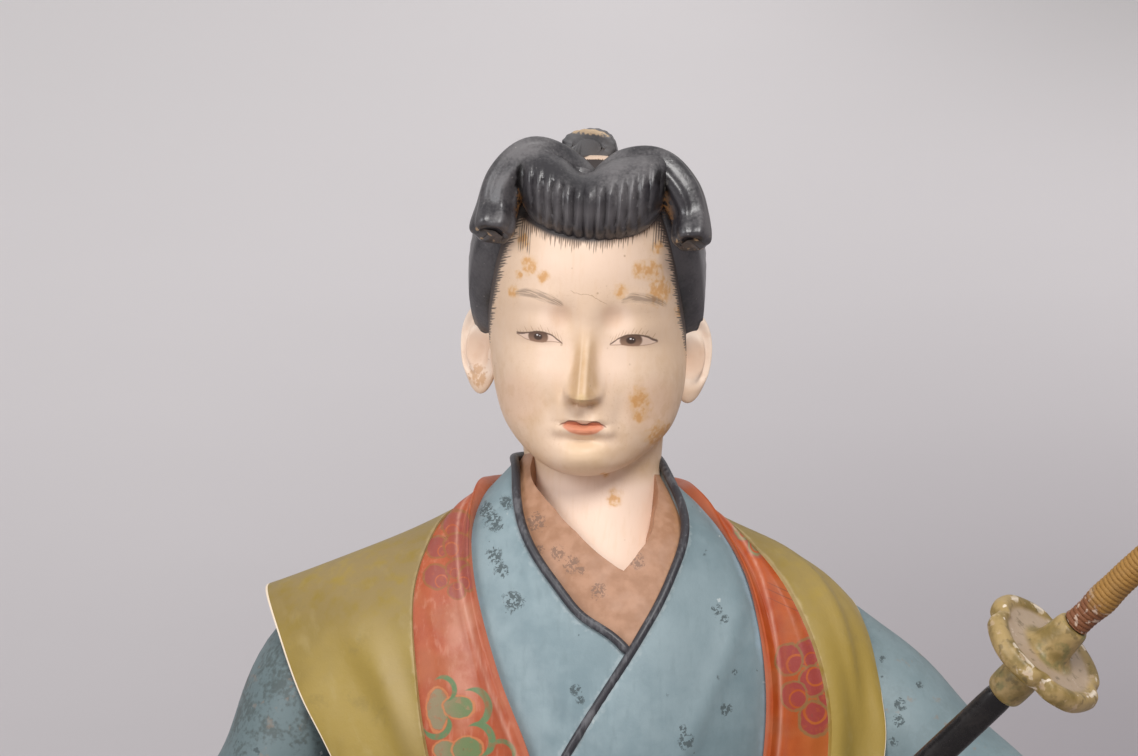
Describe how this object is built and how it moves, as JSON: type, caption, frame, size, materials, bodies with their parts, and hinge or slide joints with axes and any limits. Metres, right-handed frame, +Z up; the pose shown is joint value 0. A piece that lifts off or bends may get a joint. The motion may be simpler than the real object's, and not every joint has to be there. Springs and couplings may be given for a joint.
{
  "type": "hakata doll",
  "caption": "Painted clay doll of a kneeling youth in a formal sleeveless vest, holding a sheathed sword upright in the left hand, on a low black lacquered base.",
  "frame": {"origin": "middle of the base's underside", "axes": "+Z up; the figure faces -Y, and its own left hand, with the sword, is on the +X side"},
  "size_m": [0.1809, 0.1641, 0.2215],
  "materials": {
    "lacquered_base": "black lacquer on wood, glossy",
    "painted_clay": "unglazed fired clay, painted in matt colours with a soft sheen",
    "scabbard_lacquer": "black lacquer on wood, worn",
    "guard_gilt": "gilt paint over a white ground, chipped",
    "hilt_wrap": "wooden handle wound with orange and gold silk thread"
  },
  "bodies": {
    "root": {"base": "lacquered_base", "figure": "painted_clay", "scabbard": "scabbard_lacquer", "guard": "guard_gilt", "hilt": "hilt_wrap"}
  },
  "joints": []
}
